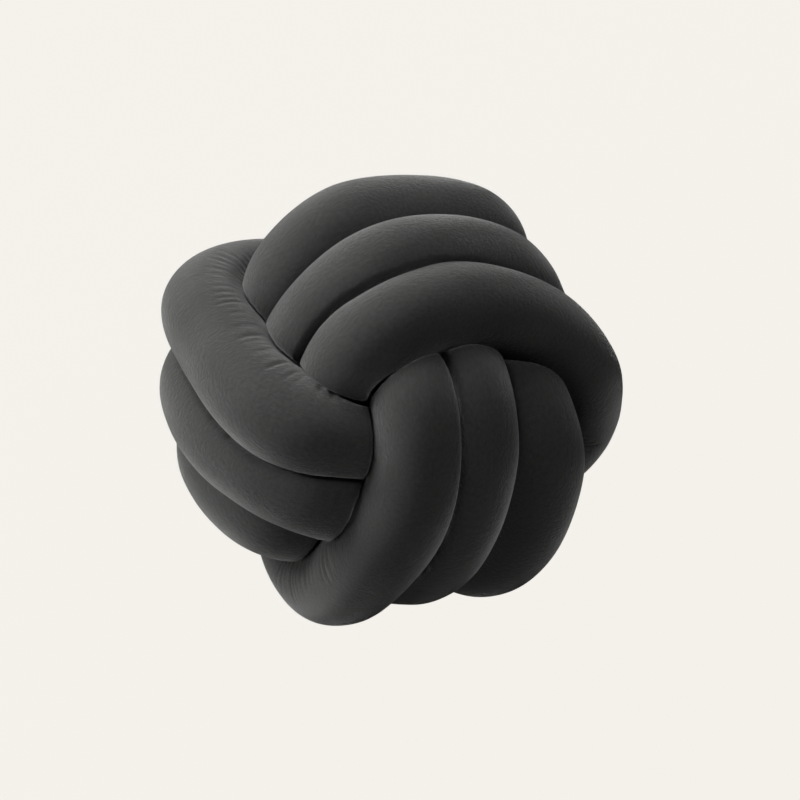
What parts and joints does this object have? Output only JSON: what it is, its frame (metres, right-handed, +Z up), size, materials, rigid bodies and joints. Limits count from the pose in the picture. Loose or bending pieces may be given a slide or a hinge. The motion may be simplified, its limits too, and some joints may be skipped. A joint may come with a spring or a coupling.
{
  "type": "knot cushion",
  "caption": "Ball-shaped knot cushion: one long stuffed tube of charcoal knitted cloth laid in parallel turns that pass over and under each other.",
  "frame": {"origin": "on the floor, under the middle of the ball's outer box, at the small flat spot it rests on", "axes": "+Z up through the whorl of the knot, +X to the right and +Y to the top as seen from above in the picture's view"},
  "size_m": [0.3057, 0.2965, 0.2877],
  "materials": {
    "charcoal_knit": "fine knitted cloth, matt with a soft sheen at grazing angles"
  },
  "bodies": {
    "root": {"stuffed_tube": "charcoal_knit"}
  },
  "joints": []
}
